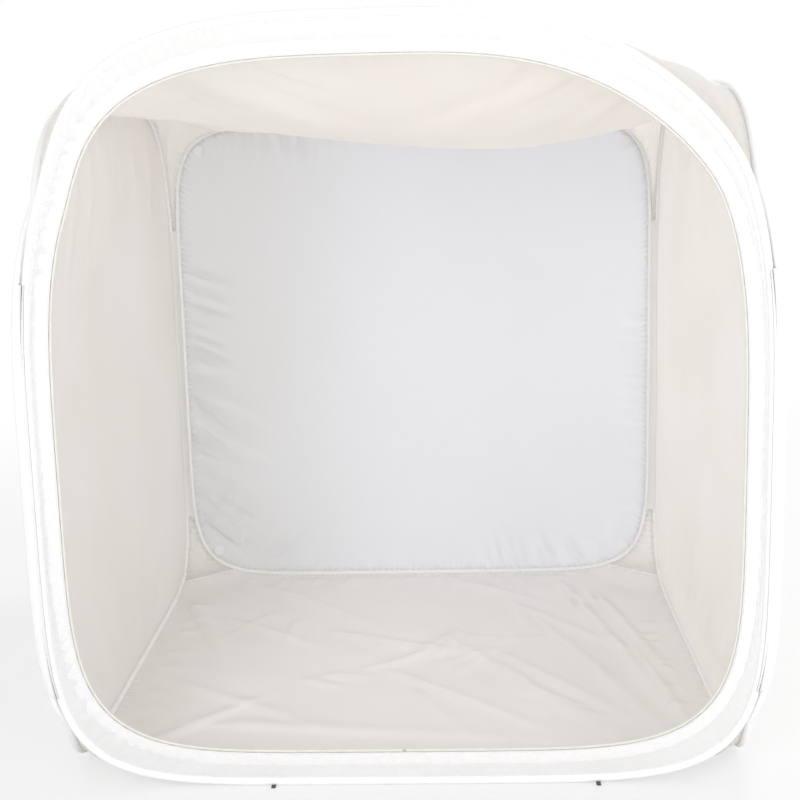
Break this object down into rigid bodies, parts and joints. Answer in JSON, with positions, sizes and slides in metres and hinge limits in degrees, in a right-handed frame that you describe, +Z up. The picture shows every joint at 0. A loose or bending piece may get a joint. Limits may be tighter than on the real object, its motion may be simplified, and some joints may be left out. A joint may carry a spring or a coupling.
{
  "type": "light tent cube",
  "caption": "Pop-up light tent: a rounded cube of white diffusing cloth on spring-steel hoops, open at the front, that folds flat about its corners.",
  "frame": {"origin": "on the ground under the middle of the tent, midway between the planes of the front and back hoops", "axes": "+X to the right seen from the open front, +Y from the open front towards the back wall, +Z up"},
  "size_m": [0.9942, 0.9189, 1.02],
  "materials": {
    "spring_steel": "plain drawn spring steel",
    "crimp_brass": "plain crimped brass",
    "casing_cloth": "white woven nylon tape, sewn to a tunnel",
    "wall_cloth": "translucent white nylon, satin",
    "back_cloth": "smooth white nylon, slightly cool",
    "ceiling_cloth": "translucent white nylon, satin",
    "floor_cloth": "white coated nylon, glossy and creased",
    "gusset_cloth": "white nylon, double layer",
    "border_cloth": "bright white nylon",
    "loop_tape": "soft napped loop tape",
    "cream_piping": "cream folded binding tape",
    "seam_tape": "white woven seam tape",
    "coin_plastic": "white hook tape",
    "dark_webbing": "dark woven webbing"
  },
  "bodies": {
    "back": {"back_hoop_wire": "spring_steel", "back_hoop_ferrule": "crimp_brass", "back_hoop_casing": "casing_cloth", "back_wall": "back_cloth", "ceiling_sheet": "ceiling_cloth", "floor_sheet": "floor_cloth", "back_left_top_gusset": "gusset_cloth", "back_left_bottom_gusset": "gusset_cloth", "back_right_top_gusset": "gusset_cloth", "back_right_bottom_gusset": "gusset_cloth", "back_left_seam_tape": "seam_tape", "back_right_seam_tape": "seam_tape", "left_top_backdrop_coin": "coin_plastic", "right_top_backdrop_coin": "coin_plastic", "left_bottom_backdrop_coin": "coin_plastic", "right_bottom_backdrop_coin": "coin_plastic"},
    "left": {"left_hoop_wire": "spring_steel", "left_hoop_ferrule": "crimp_brass", "left_hoop_casing": "casing_cloth", "left_wall": "wall_cloth", "front_left_top_gusset": "gusset_cloth", "front_left_bottom_gusset": "gusset_cloth"},
    "right": {"right_hoop_wire": "spring_steel", "right_hoop_ferrule": "crimp_brass", "right_hoop_casing": "casing_cloth", "right_wall": "wall_cloth", "front_right_top_gusset": "gusset_cloth", "front_right_bottom_gusset": "gusset_cloth"},
    "front": {"front_hoop_wire": "spring_steel", "front_hoop_ferrule": "crimp_brass", "front_hoop_casing": "casing_cloth", "front_border": "border_cloth", "front_loop_tape": "loop_tape", "opening_binding": "cream_piping", "front_left_seam_tape": "seam_tape", "front_right_seam_tape": "seam_tape", "left_tie_tab": "dark_webbing", "right_tie_tab": "dark_webbing"}
  },
  "joints": [
    {"name": "left_fold", "type": "hinge", "parent": "back", "child": "left", "pos_m": [-0.4475, 0.45, 0.47], "axis": [0, 0, 1], "range_deg": [-85, 85], "deforming": ["ceiling_sheet", "floor_sheet", "back_left_top_gusset", "back_left_bottom_gusset"]},
    {"name": "right_fold", "type": "hinge", "parent": "back", "child": "right", "pos_m": [0.4475, 0.45, 0.47], "axis": [0, 0, 1], "range_deg": [-85, 85], "deforming": ["back_right_top_gusset", "back_right_bottom_gusset"]},
    {"name": "front_fold", "type": "hinge", "parent": "left", "child": "front", "pos_m": [-0.4475, -0.45, 0.47], "axis": [0, 0, 1], "range_deg": [-85, 85], "deforming": ["front_left_top_gusset", "front_left_bottom_gusset", "front_right_top_gusset", "front_right_bottom_gusset"]}
  ],
  "couplings": [
    {"joint": "right_fold", "follows": "left_fold", "ratio": 1},
    {"joint": "front_fold", "follows": "left_fold", "ratio": -1}
  ]
}
